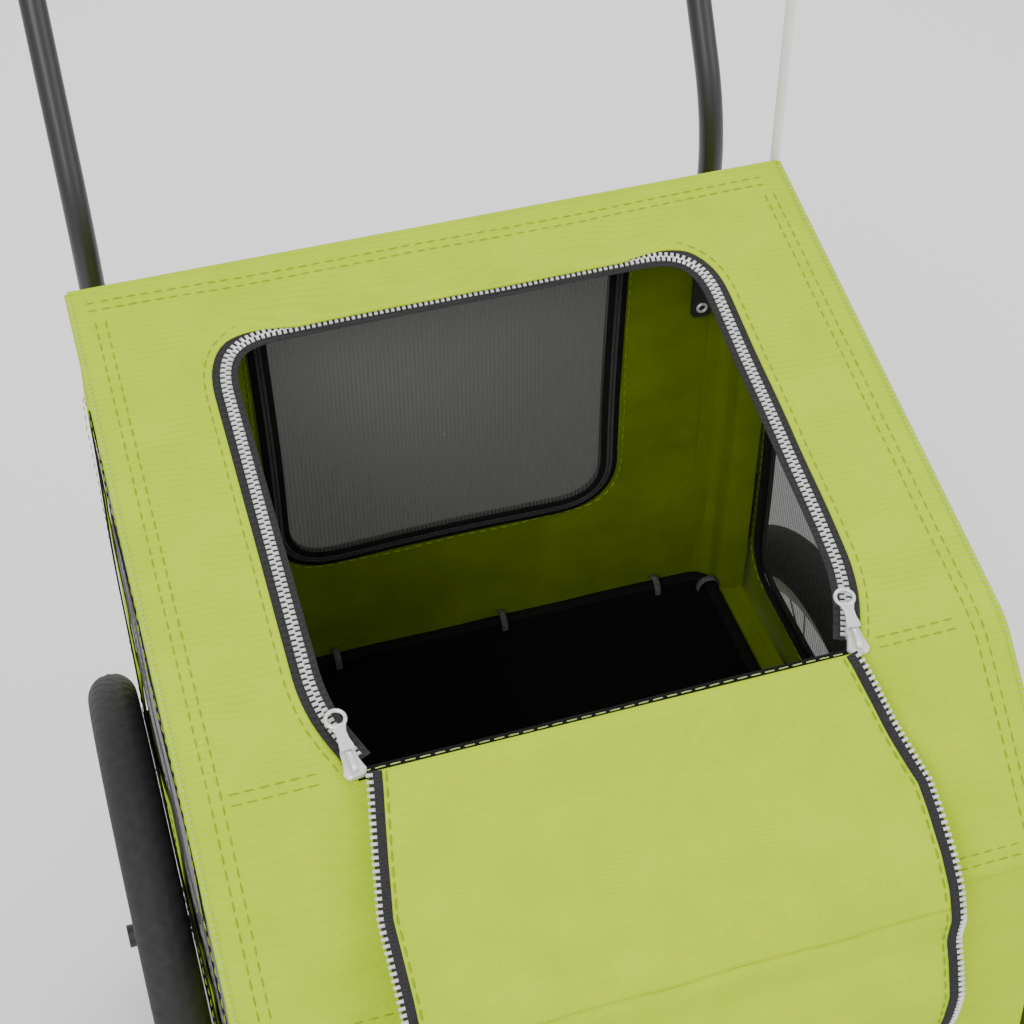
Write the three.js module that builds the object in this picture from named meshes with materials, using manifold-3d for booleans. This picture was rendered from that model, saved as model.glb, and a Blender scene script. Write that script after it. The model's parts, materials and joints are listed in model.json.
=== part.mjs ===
// Bicycle trailer for a pet or luggage, with a push handle and a swivelling front wheel.
// Millimetres, +Z up. The direction of travel is -Y, so the trailer's left side is +X.
import * as THREE from "three";
import { mergeVertices } from "three/addons/utils/BufferGeometryUtils.js";
import Module from "manifold-3d";

// ---------------------------------------------------------------- driving dimensions
const ORIGIN_Y = 491.2; // puts the rear wall (y = 0 below) so that the origin is under the trailer's middle
const CLEARANCE = 0.3; // gap between two pieces that touch

const ROOF_HALF = 300; // half the cabin's width
const CLOTH = 3; // thickness of a cover panel
const REAR_TOP = [0, 890]; // corners of the cabin's side outline, as [y, z]
const ROOF_FRONT = [-451, 791];
const BROW = [-585, 680];
const FRONT_FOOT = [-620, 372];
const REAR_FOOT = [0, 372];
const ROOF_SLOPE = Math.atan2(REAR_TOP[1] - ROOF_FRONT[1], REAR_TOP[0] - ROOF_FRONT[0]);

const TUBE_R = 10; // frame tubes
const BAR_R = 11; // handle and tow bar tubes
const HOOP_X = 285;
const RAIL_Z = 382;
const REAR_BAR_Y = -17;
const FRONT_BAR_Y = -601;
const SOCKET = { width: 23, length: 26, height: 40 };
const ROOF_BAR = [-16, 858]; // rear roof bar, as [y, z]
const LUG = { x: 236, low: 751 };

const AXLE = { y: -165, z: 250 };
const WHEEL_X = 338;
const WHEEL_R = 250;
const TYRE_R = 23.5;

const CASTER = { y: -780, trail: 45, wheelR: 100, tyreR: 19, headZ: 326 };
const HANDLE = { x: 280, y: 90, pivotZ: 600, bendZ: 880, lean: 0.541, reach: 300, bendR: 55 };
const TOW = { z: 346, rearY: -492, straightY: -760, endX: 100, endY: -1000, frontY: -1150 };
const HITCH = { y: -1176, plateFront: -1254 };
const FLAG = { x: 314, y: 20.4, z: 456, length: 1010, lean: 0.023, poleR: 4.2 };

const HATCH = { rear: 62, front: 462, half: 212, frontHalf: 186, corner: 50 }; // from the roof's rear edge
const ZIP = { tape: 24, depth: 2.4 };
const FLAP = { hinge: [-457, 801.5], lengths: [150, 90, 160], angles: [-28, -65, -88], thickness: 3, gap: 4 };

// ---------------------------------------------------------------- materials
function paint(color, roughness, metalness = 0) {
  return new THREE.MeshStandardMaterial({ color, roughness, metalness });
}

const LIME = paint(0xb9d24d, 0.85);
const MESH = paint(0x55564f, 0.8);
const BINDING = paint(0x1c1c1e, 0.8);
const MAT = paint(0x0b0b0c, 0.9);
const STEEL = paint(0x161617, 0.35, 0.4);
const PLASTIC = paint(0x1a1a1b, 0.5);
const RUBBER = paint(0x252526, 0.75);
const FOAM = paint(0x151516, 0.95);
const ALLOY = paint(0xb9bbbd, 0.3, 1);
const ZINC = paint(0xdcdcdc, 0.3, 0.9);
const FIBREGLASS = paint(0xf4f4f2, 0.35);
const PENNANT = paint(0xff6a13, 0.7);

// ---------------------------------------------------------------- helpers
const wasm = await Module();
wasm.setup();

const trailer = new THREE.Group();
trailer.position.set(0, ORIGIN_Y, 0);

function add(name, geometry, material, x = 0, y = 0, z = 0) {
  const mesh = new THREE.Mesh(geometry, material);
  mesh.name = name;
  mesh.position.set(x, y, z);
  trailer.add(mesh);
  return mesh;
}

function solid(geometry) {
  const plain = geometry.index ? geometry.toNonIndexed() : geometry.clone();
  plain.deleteAttribute("normal");
  plain.deleteAttribute("uv");
  const merged = mergeVertices(plain, 1e-3);
  return new wasm.Manifold(
    new wasm.Mesh({
      numProp: 3,
      vertProperties: new Float32Array(merged.attributes.position.array),
      triVerts: new Uint32Array(merged.index.array),
    }),
  );
}

function geometryOf(manifold) {
  const mesh = manifold.getMesh();
  return new THREE.BufferGeometry()
    .setAttribute("position", new THREE.BufferAttribute(mesh.vertProperties, 3))
    .setIndex(new THREE.BufferAttribute(mesh.triVerts, 1));
}

function join(...geometries) {
  return geometryOf(geometries.map(solid).reduce((all, next) => all.add(next)));
}

function cut(body, ...tools) {
  return geometryOf(tools.map(solid).reduce((left, tool) => left.subtract(tool), solid(body)));
}

const box = (x, y, z, cx = 0, cy = 0, cz = 0) => new THREE.BoxGeometry(x, y, z).translate(cx, cy, cz);

/** A round bar whose ends are at a and b. */
function rod(radius, a, b, sides = 12) {
  const from = new THREE.Vector3(...a);
  const axis = new THREE.Vector3(...b).sub(from);
  const up = new THREE.Vector3(0, 1, 0);
  const turn = new THREE.Quaternion().setFromUnitVectors(up, axis.clone().normalize());
  return new THREE.CylinderGeometry(radius, radius, axis.length(), sides)
    .applyQuaternion(turn)
    .translate(...from.addScaledVector(axis, 0.5));
}

/** A bent tube through points, with its corners rounded to the given radius. */
function bentTube(radius, points, bend, steps, sides = 10) {
  const p = points.map((q) => new THREE.Vector3(...q));
  const path = new THREE.CurvePath();
  let start = p[0];
  for (let i = 1; i < p.length - 1; i++) {
    const back = p[i].clone().sub(start).normalize();
    const on = p[i + 1].clone().sub(p[i]).normalize();
    const inset = Math.min(bend, start.distanceTo(p[i]) * 0.9, p[i + 1].distanceTo(p[i]) * 0.45);
    const into = p[i].clone().addScaledVector(back, -inset);
    const out = p[i].clone().addScaledVector(on, inset);
    path.add(new THREE.LineCurve3(start, into));
    path.add(new THREE.QuadraticBezierCurve3(into, p[i], out));
    start = out;
  }
  path.add(new THREE.LineCurve3(start, p.at(-1)));
  const section = new THREE.Shape().absarc(0, 0, radius, 0, 2 * Math.PI);
  return new THREE.ExtrudeGeometry(section, { extrudePath: path, steps, curveSegments: sides });
}

/** A closed outline through corner points, each corner rounded to its own radius. */
function rounded(Kind, corners, radii) {
  const shape = new Kind();
  const count = corners.length;
  corners.forEach((c, i) => {
    const corner = new THREE.Vector2(...c);
    const before = new THREE.Vector2(...corners[(i + count - 1) % count]).sub(corner).normalize();
    const after = new THREE.Vector2(...corners[(i + 1) % count]).sub(corner).normalize();
    const radius = Array.isArray(radii) ? radii[i] : radii;
    const from = corner.clone().addScaledVector(before, radius);
    const to = corner.clone().addScaledVector(after, radius);
    if (i === 0) shape.moveTo(from.x, from.y);
    else shape.lineTo(from.x, from.y);
    if (radius > 0) shape.quadraticCurveTo(corner.x, corner.y, to.x, to.y);
  });
  shape.closePath();
  return shape;
}

/** Extrudes a shape whose x and y run along two world axes, with the depth along their cross product. */
function plate(shape, depth, along, up, segments = 5) {
  const u = new THREE.Vector3(...along);
  const v = new THREE.Vector3(...up);
  const frame = new THREE.Matrix4().makeBasis(u, v, new THREE.Vector3().crossVectors(u, v));
  const flat = new THREE.ExtrudeGeometry(shape, { depth, bevelEnabled: false, curveSegments: segments });
  return flat.applyMatrix4(frame);
}

/** A panel standing in the YZ plane, drawn as [y, z], with its low-x face at x. */
const sidePlate = (shape, depth, x) => plate(shape, depth, [0, 1, 0], [0, 0, 1]).translate(x, 0, 0);

/** A panel facing the rear, drawn as [x, z], with its rear face at y. */
const rearPlate = (shape, depth, y) => plate(shape, depth, [1, 0, 0], [0, 0, 1]).translate(0, y, 0);

/** Moves a shape drawn flat (x across, y rearwards, z up) onto the roof, from the roof's rear edge. */
function ontoRoof(geometry) {
  return geometry.rotateX(ROOF_SLOPE).translate(0, ...REAR_TOP);
}

const FLAT_X = [1, 0, 0];
const FLAT_Y = [0, 1, 0];

const points2 = (pairs) => pairs.map(([a, b]) => new THREE.Vector2(a, b));

/** A rounded plate lying flat with its underside at z. */
function slab(corners, radius, thickness, z) {
  return plate(rounded(THREE.Shape, corners, radius), thickness, FLAT_X, FLAT_Y, 3).translate(0, 0, z);
}

const sides = [
  ["left", 1],
  ["right", -1],
];

// ---------------------------------------------------------------- frame
function buildFrame() {
  const half = SOCKET.length / 2;
  const top = RAIL_Z + SOCKET.height / 2 + CLEARANCE;
  for (const [side, s] of sides) {
    const x = s * HOOP_X;
    const hoop = [
      [x, REAR_BAR_Y, top],
      [x, REAR_BAR_Y, REAR_TOP[1] - 17],
      [x, ROOF_FRONT[0] + 3, ROOF_FRONT[1] - 15],
      [x, BROW[0] + 21, BROW[1] - 10],
      [x, FRONT_BAR_Y + 5, top + 30],
      [x, FRONT_BAR_Y + 5, top],
    ];
    add(`${side}_side_hoop`, bentTube(TUBE_R, hoop, 45, 32, 6), STEEL);
    add(
      `${side}_floor_rail`,
      rod(BAR_R, [x, REAR_BAR_Y - half - CLEARANCE, RAIL_Z], [x, FRONT_BAR_Y + half + CLEARANCE, RAIL_Z]),
      STEEL,
    );
  }
  const ends = { rear_floor_bar: REAR_BAR_Y, front_floor_bar: FRONT_BAR_Y };
  for (const [name, y] of Object.entries(ends)) {
    // Each crossbar carries a welded corner socket at both ends for the rail and the foot of the hoop.
    const { width, length, height } = SOCKET;
    const sockets = [-HOOP_X, HOOP_X].map((x) => box(width, length, height, x, y, RAIL_Z));
    add(name, join(rod(BAR_R, [-HOOP_X, y, RAIL_Z], [HOOP_X, y, RAIL_Z]), ...sockets), STEEL);
  }
  const across = HOOP_X - TUBE_R - CLEARANCE;
  const [rearY, rearZ] = ROOF_BAR;
  // Two flat lugs hang from the rear roof bar inside the cabin, each with a hole for a strap.
  const lugs = [-LUG.x, LUG.x].map((x) => {
    const lug = rounded(THREE.Shape, [[-9, LUG.low], [9, LUG.low], [9, rearZ], [-9, rearZ]], 5);
    return rearPlate(lug, 4, rearY + 4).translate(x, 0, 0);
  });
  const rearBar = rod(TUBE_R - 2, [-across, rearY, rearZ], [across, rearY, rearZ]);
  add("roof_rear_bar", join(rearBar, ...lugs), STEEL);
  const frontAt = [ROOF_FRONT[0] - 8, ROOF_FRONT[1] - 22];
  add("roof_front_bar", rod(TUBE_R - 2, [-across, ...frontAt], [across, ...frontAt]), STEEL);
}

function buildFloor() {
  const x = HOOP_X - BAR_R - 3;
  const front = FRONT_BAR_Y + BAR_R + 2;
  const rear = REAR_BAR_Y - BAR_R - 2;
  const board = slab([[-x, front], [x, front], [x, rear], [-x, rear]], 8, 6, RAIL_Z + 4);
  add("floor_board", board, PLASTIC);
  const mat = slab([[-272, -596], [272, -596], [272, -5], [-272, -5]], 14, 4, RAIL_Z + BAR_R + 0.4);
  add("floor_mat", mat, MAT);
}

// ---------------------------------------------------------------- running gear
function buildAxle() {
  const end = WHEEL_X - 50;
  const beam = rod(12, [-end, AXLE.y, AXLE.z], [end, AXLE.y, AXLE.z], 14);
  const hangers = [-end, end].map((x) => {
    // A pressed plate at each end hangs from the floor rail and takes the wheel's plug-in axle.
    const drop = rounded(THREE.Shape, [[-70, 370], [70, 370], [30, 228], [-30, 228]], 12);
    return sidePlate(drop, 12, x - 6).translate(0, AXLE.y, 0);
  });
  const bores = [-1, 1].map((s) => {
    return rod(6.4, [s * (end - 40), AXLE.y, AXLE.z], [s * (end + 20), AXLE.y, AXLE.z], 16);
  });
  add("axle_beam", cut(join(beam, ...hangers), ...bores), STEEL);
}

/** A ring turned about the x axis from a closed profile of [radius, x] pairs. */
function lathed(profile, segments) {
  const points = profile.map(([r, x]) => new THREE.Vector2(r, x));
  return new THREE.LatheGeometry([...points, points[0].clone()], segments).rotateZ(-Math.PI / 2);
}

function ringSection(centreR, minorR, count) {
  return Array.from({ length: count }, (_, i) => {
    const t = (2 * Math.PI * i) / count;
    return [centreR + minorR * Math.cos(t), minorR * Math.sin(t)];
  });
}

function buildWheel(side, s) {
  const at = [s * WHEEL_X, AXLE.y, AXLE.z];
  const middle = WHEEL_R - TYRE_R;
  add(`${side}_tyre`, lathed(ringSection(middle, TYRE_R, 10), 36), RUBBER, ...at);
  const bead = middle - TYRE_R - CLEARANCE;
  const rim = [[bead, -12], [bead, 12], [bead - 16, 9], [bead - 20, 0], [bead - 16, -9]];
  add(`${side}_rim`, lathed(rim, 36), ALLOY, ...at);
  const flanges = [-22, 22].map((x) => rod(24, [x - 1.6, 0, 0], [x + 1.6, 0, 0], 16));
  const spokes = [];
  const count = 20;
  for (let i = 0; i < count; i++) {
    const flange = i % 2 ? 22 : -22;
    const lead = (i % 4 < 2 ? 1 : -1) * 0.9; // the spokes leave their flange forwards and backwards in turn
    const angle = (2 * Math.PI * i) / count;
    const start = [flange, 20 * Math.cos(angle + lead), 20 * Math.sin(angle + lead)];
    const reach = bead - 20 - CLEARANCE;
    const finish = [0.15 * flange, reach * Math.cos(angle), reach * Math.sin(angle)];
    spokes.push(rod(1.1, start, finish, 4));
  }
  const barrel = rod(14, [-24, 0, 0], [24, 0, 0], 14);
  const bore = rod(6.4, [-40, 0, 0], [40, 0, 0], 12);
  add(`${side}_spokes_and_hub`, cut(join(barrel, ...flanges, ...spokes), bore), ALLOY, ...at);
  const inner = -s * (24 + 24); // the plug-in axle reaches through the bracket towards the beam
  const shaft = rod(6, [inner + s, 0, 0], [s * 30, 0, 0], 16);
  const knob = rod(11, [s * 24.4, 0, 0], [s * 34, 0, 0], 20);
  add(`${side}_wheel_axle`, join(shaft, knob), STEEL, ...at);
}

function buildCaster() {
  const { y, trail, wheelR, tyreR, headZ } = CASTER;
  const start = FRONT_BAR_Y - BAR_R - CLEARANCE;
  const strut = rod(BAR_R, [0, start, RAIL_Z], [0, y + 4, headZ + 42], 12);
  const head = rod(21, [0, y, headZ], [0, y, headZ + 56], 20);
  add("caster_head", join(strut, head), STEEL);
  const crown = rod(17, [0, y, headZ - 14], [0, y, headZ - CLEARANCE], 20);
  const bridge = box(76, 40, 10, 0, y + 8, headZ - 18);
  const legs = [-33, 33].map((x) => {
    const top = headZ - 14;
    const leg = [[-12, top], [26, top], [trail + 13, 88], [trail - 13, 88]];
    return sidePlate(rounded(THREE.Shape, leg, 9), 6, x - 3).translate(0, y, 0);
  });
  add("caster_fork", join(crown, bridge, ...legs), STEEL);
  const at = [0, y + trail, wheelR];
  add("front_tyre", lathed(ringSection(wheelR - tyreR, tyreR, 8), 24), RUBBER, ...at);
  const bead = wheelR - 2 * tyreR - CLEARANCE;
  const half = [[5.5, 24], [16, 24], [18, 8], [bead - 8, 8], [bead, 14]];
  const disc = [...half.map(([r, x]) => [r, -x]), ...half.reverse()];
  add("front_wheel_disc", lathed(disc, 24), PLASTIC, ...at);
  add("front_axle_bolt", rod(5, [-29.5, 0, 0], [29.5, 0, 0], 12), ZINC, ...at);
}

// ---------------------------------------------------------------- handle, tow bar and flag
function buildHandle() {
  const { x, y, pivotZ, bendZ, lean, reach, bendR } = HANDLE;
  const topY = y + reach * Math.sin(lean);
  const topZ = bendZ + reach * Math.cos(lean);
  const half = [
    [x, y, pivotZ - 18],
    [x, y, bendZ],
    [x, topY, topZ],
  ];
  const mirrored = half.map(([a, b, c]) => [-a, b, c]).reverse();
  const tube = bentTube(BAR_R, [...half, ...mirrored], bendR, 44, 6);
  const bores = [x, -x].map((c) => rod(4.4, [c - 20, y, pivotZ], [c + 20, y, pivotZ], 12));
  add("handle_tube", cut(tube, ...bores), STEEL);
  const outer = rod(16.5, [-170, 0, 0], [170, 0, 0], 20);
  const inner = rod(BAR_R + CLEARANCE + 0.2, [-200, 0, 0], [200, 0, 0], 20);
  add("handle_grip", cut(outer, inner), FOAM, 0, topY, topZ);
  for (const [side, s] of sides) {
    // A forked bracket clamps the hoop's rear upright and carries the handle's pivot bolt behind the cabin.
    const fork = [-1, 1].map((e) => box(5, 44, 34, s * x + e * 15, y, pivotZ));
    const web = box(35, 6, 34, s * x, y - 25, pivotZ);
    const arm = box(22, y - 28 - 4, 26, s * x, (y - 28 + 4) / 2, pivotZ);
    const clamp = box(40, 6, 40, s * HOOP_X - s * 4, 3.6, pivotZ);
    const hole = rod(4.4, [s * x - 30, y, pivotZ], [s * x + 30, y, pivotZ], 12);
    add(`${side}_handle_bracket`, cut(join(...fork, web, arm, clamp), hole), PLASTIC);
    const bolt = join(
      rod(4, [s * x - 19, y, pivotZ], [s * x + 19, y, pivotZ], 12),
      rod(7, [s * x - 22.6, y, pivotZ], [s * x - 17.8, y, pivotZ], 6),
      rod(7, [s * x + 17.8, y, pivotZ], [s * x + 22.6, y, pivotZ], 6),
    );
    add(`${side}_handle_bolt`, bolt, ZINC);
  }
}

function buildTowBar() {
  const { z, rearY, straightY, endX, endY, frontY } = TOW;
  const saddle = box(12, 70, 14, HOOP_X, -540, RAIL_Z - BAR_R - CLEARANCE - 7);
  const sleeveEnd = [-600, -486];
  const sleeve = rod(15, [HOOP_X, sleeveEnd[0], z], [HOOP_X, sleeveEnd[1], z], 20);
  const bore = rod(BAR_R + 0.5, [HOOP_X, sleeveEnd[0] - 9, z], [HOOP_X, sleeveEnd[1] + 9, z], 20);
  const boss = box(20, 30, 16, HOOP_X - 20, -560, z);
  const bossBore = rod(3.4, [HOOP_X - 60, -560, z], [HOOP_X, -560, z], 12);
  add("tow_receiver", cut(join(sleeve, boss, saddle), bore, bossBore), STEEL);
  const knobAt = [HOOP_X - 30 - CLEARANCE, -560, z];
  const lobes = Array.from({ length: 5 }, (_, i) => {
    const t = (2 * Math.PI * i) / 5;
    return rod(7, [-14, 14 * Math.cos(t), 14 * Math.sin(t)], [0, 14 * Math.cos(t), 14 * Math.sin(t)], 10);
  });
  const core = rod(14, [-14, 0, 0], [0, 0, 0], 20);
  const stem = rod(3, [-4, 0, 0], [17, 0, 0], 10);
  add("tow_clamp_knob", join(core, stem, ...lobes), PLASTIC, ...knobAt);
  const route = [[HOOP_X, rearY], [HOOP_X, straightY], [endX, endY], [endX, frontY]];
  const bar = bentTube(BAR_R, route.map(([x, y]) => [x, y, z]), 60, 28, 6);
  const yoke = [-1, 1].map((e) => box(26, 40, 5, endX, frontY - 14, z + e * 12));
  const heel = box(26, 8, 29, endX, frontY + 2, z);
  const pinBore = rod(4.4, [endX, HITCH.y + 8, z - 40], [endX, HITCH.y + 8, z + 40], 12);
  add("tow_bar", cut(join(bar, ...yoke, heel), pinBore), STEEL);
  const pinY = HITCH.y + 8;
  const shank = rod(4, [endX, pinY, z - 24], [endX, pinY, z + 20], 12);
  const pin = join(shank, rod(8, [endX, pinY, z + 14.8], [endX, pinY, z + 22], 14));
  add("hitch_pin", pin, ZINC);
  // The hitch plate turns on the pin, and its front eye goes over the bicycle's rear axle.
  const arm = box(16, 26, 18, endX, HITCH.y + 4, z);
  const neck = box(10, 26, 18, endX, HITCH.y - 14, z);
  const eyeRear = HITCH.y - 14;
  const eyeCorners = [[HITCH.plateFront, -17], [eyeRear, -17], [eyeRear, 17], [HITCH.plateFront, 17]];
  const eye = rounded(THREE.Shape, eyeCorners, 8);
  const face = sidePlate(eye, 5, endX - 5).translate(0, 0, z);
  const holeY = HITCH.plateFront + 20;
  const axleHole = rod(5.2, [endX - 20, holeY, z], [endX + 20, holeY, z], 16);
  const hitchBore = rod(4.4, [endX, HITCH.y + 8, z - 40], [endX, HITCH.y + 8, z + 40], 12);
  add("hitch_plate", cut(join(arm, neck, face), axleHole, hitchBore), STEEL);
}

function buildFlag() {
  const { x, y, z, length, lean, poleR } = FLAG;
  const tip = [x, y + length * Math.sin(lean), z + length * Math.cos(lean)];
  add("flag_pole", rod(poleR, [x, y, z], tip, 10), FIBREGLASS);
  const axis = [0, Math.sin(lean), Math.cos(lean)];
  const at = (d) => [x, y + d * axis[1], z + d * axis[2]];
  const cup = cut(rod(8, at(-12), at(60), 14), rod(poleR + 0.5, at(-CLEARANCE), at(80), 10));
  const band = box(40, 25, 30, x - 20, 13 + CLEARANCE, z + 14);
  add("flag_socket", cut(join(cup, band), rod(poleR + 0.5, at(-CLEARANCE), at(80), 10)), PLASTIC);
  const pennant = new THREE.Shape(points2([[5, -150], [230, -85], [5, -20]]));
  const cloth = plate(pennant, 1.6, [0, 1, 0], [0, 0, 1]).rotateX(-lean);
  add("flag_pennant", cloth, PENNANT, tip[0] - 0.8, tip[1], tip[2]);
}

// ---------------------------------------------------------------- cover
// The side panels stop just short of the roof, the rear wall and the front wall.
const SIDE_OUTLINE = [
  [REAR_FOOT[0] - 1, REAR_FOOT[1]],
  [REAR_TOP[0] - 1, REAR_TOP[1] - 6],
  [ROOF_FRONT[0] + 3, ROOF_FRONT[1] - 6],
  [BROW[0] + 3, BROW[1] - 6],
  [FRONT_FOOT[0] + 1, FRONT_FOOT[1]],
];

/** The sheet that follows the side outline between two of its corners, from x = -half to x = half. */
function sheetAlong(points, half, thickness) {
  const centre = [-300, 580];
  const inner = points.map(([y, z]) => {
    const d = new THREE.Vector2(centre[0] - y, centre[1] - z).normalize().multiplyScalar(thickness * 1.25);
    return [y + d.x, z + d.y];
  });
  const shape = new THREE.Shape(points2([...points, ...inner.reverse()]));
  return plate(shape, 2 * half, [0, 1, 0], [0, 0, 1]).translate(-half, 0, 0);
}

function hatchOutline(Kind, inset) {
  const { rear, front, half, frontHalf, corner } = HATCH;
  const h = half - inset;
  const r = -rear - inset;
  const shoulder = -(front - 60);
  const f = frontHalf - inset;
  const corners = [[-h, r], [-h, shoulder], [-f, -front - 6], [f, -front - 6], [h, shoulder], [h, r]];
  return rounded(Kind, corners, [corner, 30, 0, 0, 30, corner]);
}

function buildRoof() {
  const roof = sheetAlong([REAR_TOP, ROOF_FRONT, BROW], ROOF_HALF + 3.5, CLOTH);
  const skirts = sides.map(([, s]) => {
    const low = [REAR_TOP, ROOF_FRONT, BROW].map(([y, z]) => [y, z - 45]).reverse();
    const shape = new THREE.Shape(points2([REAR_TOP, ROOF_FRONT, BROW, ...low]));
    return sidePlate(shape, CLOTH, s > 0 ? ROOF_HALF + 0.5 : -ROOF_HALF - 0.5 - CLOTH);
  });
  const punch = plate(hatchOutline(THREE.Shape, -CLEARANCE), 60, FLAT_X, FLAT_Y).translate(0, 0, -30);
  const hole = ontoRoof(punch);
  add("roof_panel", cut(join(roof, ...skirts), hole), LIME);
  const band = hatchOutline(THREE.Shape, 0);
  const tape = plate(band, ZIP.depth, FLAT_X, FLAT_Y);
  const open = plate(hatchOutline(THREE.Shape, ZIP.tape), 20, FLAT_X, FLAT_Y).translate(0, 0, -8);
  const mouth = box(2 * (HATCH.frontHalf - ZIP.tape), 60, 20, 0, -HATCH.front - 10, 0);
  add("hatch_zipper", ontoRoof(cut(tape, open, mouth).translate(0, 0, -ZIP.depth)), BINDING);
}

function windowOutline(inset) {
  const corners = [
    [-38 - inset, 429 + inset],
    [-38 - inset, 820 - inset],
    [-440 + inset * 0.5, 732 - inset],
    [-548 + inset, 660 - inset * 0.7],
    [-572 + inset, 429 + inset],
  ];
  return [corners, [34, 30, 34, 30, 26]];
}

function buildSides() {
  for (const [side, s] of sides) {
    const x = s > 0 ? ROOF_HALF - CLOTH : -ROOF_HALF;
    const panel = new THREE.Shape(points2(SIDE_OUTLINE));
    panel.holes.push(rounded(THREE.Path, ...windowOutline(0)));
    add(`${side}_side_panel`, sidePlate(panel, CLOTH, x), LIME);
    const binding = rounded(THREE.Shape, ...windowOutline(CLEARANCE));
    binding.holes.push(rounded(THREE.Path, ...windowOutline(9)));
    const mesh = rounded(THREE.Shape, ...windowOutline(8));
    add(`${side}_window`, join(sidePlate(binding, CLOTH, x), sidePlate(mesh, 1.4, x + 0.8)), MESH);
  }
}

const DOOR = { half: 167, low: 530, high: 838 };

function doorOutline(Kind, inset, low = DOOR.low) {
  const h = DOOR.half - inset;
  const corners = [[-h, low + inset], [h, low + inset], [h, DOOR.high - inset], [-h, DOOR.high - inset]];
  return rounded(Kind, corners, [48, 48, 10, 10]);
}

function buildRear() {
  const half = ROOF_HALF - CLOTH - CLEARANCE;
  const low = REAR_FOOT[1];
  const high = REAR_TOP[1] - 6;
  const wall = rounded(THREE.Shape, [[-half, low], [half, low], [half, high], [-half, high]], 0.01);
  wall.holes.push(doorOutline(THREE.Path, 0));
  add("rear_panel", rearPlate(wall, CLOTH, 0), LIME);
  const ring = doorOutline(THREE.Shape, 2);
  ring.holes.push(doorOutline(THREE.Path, 19));
  add("rear_door_zipper", rearPlate(ring, CLOTH, 0), BINDING);
  add("rear_door_mesh", rearPlate(doorOutline(THREE.Shape, 19 + CLEARANCE), 1.4, -0.8), MESH);
}

function buildFront() {
  const foot = [FRONT_FOOT[0] + 3.5, FRONT_FOOT[1] + 30]; // stays clear of the caster's strut
  const wall = sheetAlong([[BROW[0] + 0.5, BROW[1] - 5], foot], ROOF_HALF - CLOTH - CLEARANCE, CLOTH);
  const rise = Math.atan2(FRONT_FOOT[0] - BROW[0], BROW[1] - FRONT_FOOT[1]);
  const middle = [(BROW[0] + FRONT_FOOT[0]) / 2 + 2, (BROW[1] + FRONT_FOOT[1]) / 2];
  const place = (g) => g.rotateX(-rise).translate(0, ...middle);
  const opening = (inset, Kind = THREE.Shape, radius = 36) => {
    const [w, low, high] = [200 - inset, -95 + inset, 105 - inset];
    return rounded(Kind, [[-w, low], [w, low], [w, high], [-w, high]], radius);
  };
  add("front_panel", cut(wall, place(rearPlate(opening(0), 40, 20))), LIME);
  const binding = opening(CLEARANCE);
  binding.holes.push(opening(9, THREE.Path, 30));
  const mesh = opening(8, THREE.Shape, 30);
  add("front_window", place(join(rearPlate(binding, CLOTH, 1), rearPlate(mesh, 1.4, 0.2))), MESH);
}

// ---------------------------------------------------------------- hatch flap and zipper sliders
/** The flap is cloth: three stiff lengths joined at fold lines, laid open over the front of the cabin. */
function buildFlap() {
  let [y, z] = FLAP.hinge;
  const names = ["flap_root", "flap_middle", "flap_end"];
  FLAP.lengths.forEach((length, i) => {
    const angle = (FLAP.angles[i] * Math.PI) / 180;
    const start = i === 0 ? 6 : FLAP.gap / 2;
    const finish = i === 2 ? length - 4 : length - FLAP.gap / 2;
    const wide = HATCH.half - 3;
    const narrow = i === 0 ? HATCH.frontHalf - 4 : wide;
    const shoulder = Math.min(start + 60, finish - 1); // the root widens from the hinge line to here
    const half = [[narrow, -start], [wide, -shoulder], [wide, -finish]];
    const corners = [...half.map(([a, b]) => [-a, b]), ...half.reverse()];
    const shape = rounded(THREE.Shape, corners, i === 2 ? [0, 0, 46, 46, 0, 0] : 0);
    const sheet = plate(shape, FLAP.thickness, FLAT_X, FLAT_Y, 6).translate(0, 0, -FLAP.thickness / 2);
    add(names[i], sheet.rotateX(-angle), LIME, 0, y, z);
    y -= length * Math.cos(angle);
    z += length * Math.sin(angle);
  });
}

function buildSliders() {
  for (const [side, s] of sides) {
    const x = s * (HATCH.half - 24);
    const along = HATCH.front - 10;
    const body = join(box(15, 24, 3, 0, 0, 1.5), box(7, 11, 3, 0, -3, 4));
    const place = (g) => ontoRoof(g.rotateZ(-s * 0.1).translate(x, -along, 0.6));
    add(`${side}_zip_slider`, place(body), ZINC);
    const round = new THREE.CylinderGeometry(8, 8, 1.6, 20).rotateX(Math.PI / 2).translate(0, 33, 0);
    const eye = new THREE.CylinderGeometry(5.2, 5.2, 6, 16).rotateX(Math.PI / 2).translate(0, 33, 0);
    const neck = box(8, 18, 1.6, 0, 18, 0);
    add(`${side}_zip_pull`, place(cut(join(round, neck), eye).translate(0, 0, 7.2)), ZINC);
  }
}

buildFrame();
buildFloor();
buildAxle();
for (const [side, s] of sides) buildWheel(side, s);
buildCaster();
buildHandle();
buildTowBar();
buildFlag();
buildRoof();
buildSides();
buildRear();
buildFront();
buildFlap();
buildSliders();

export default trailer;
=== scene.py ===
import json
import math

import bpy
import numpy as np
from mathutils import Matrix, Vector


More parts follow.
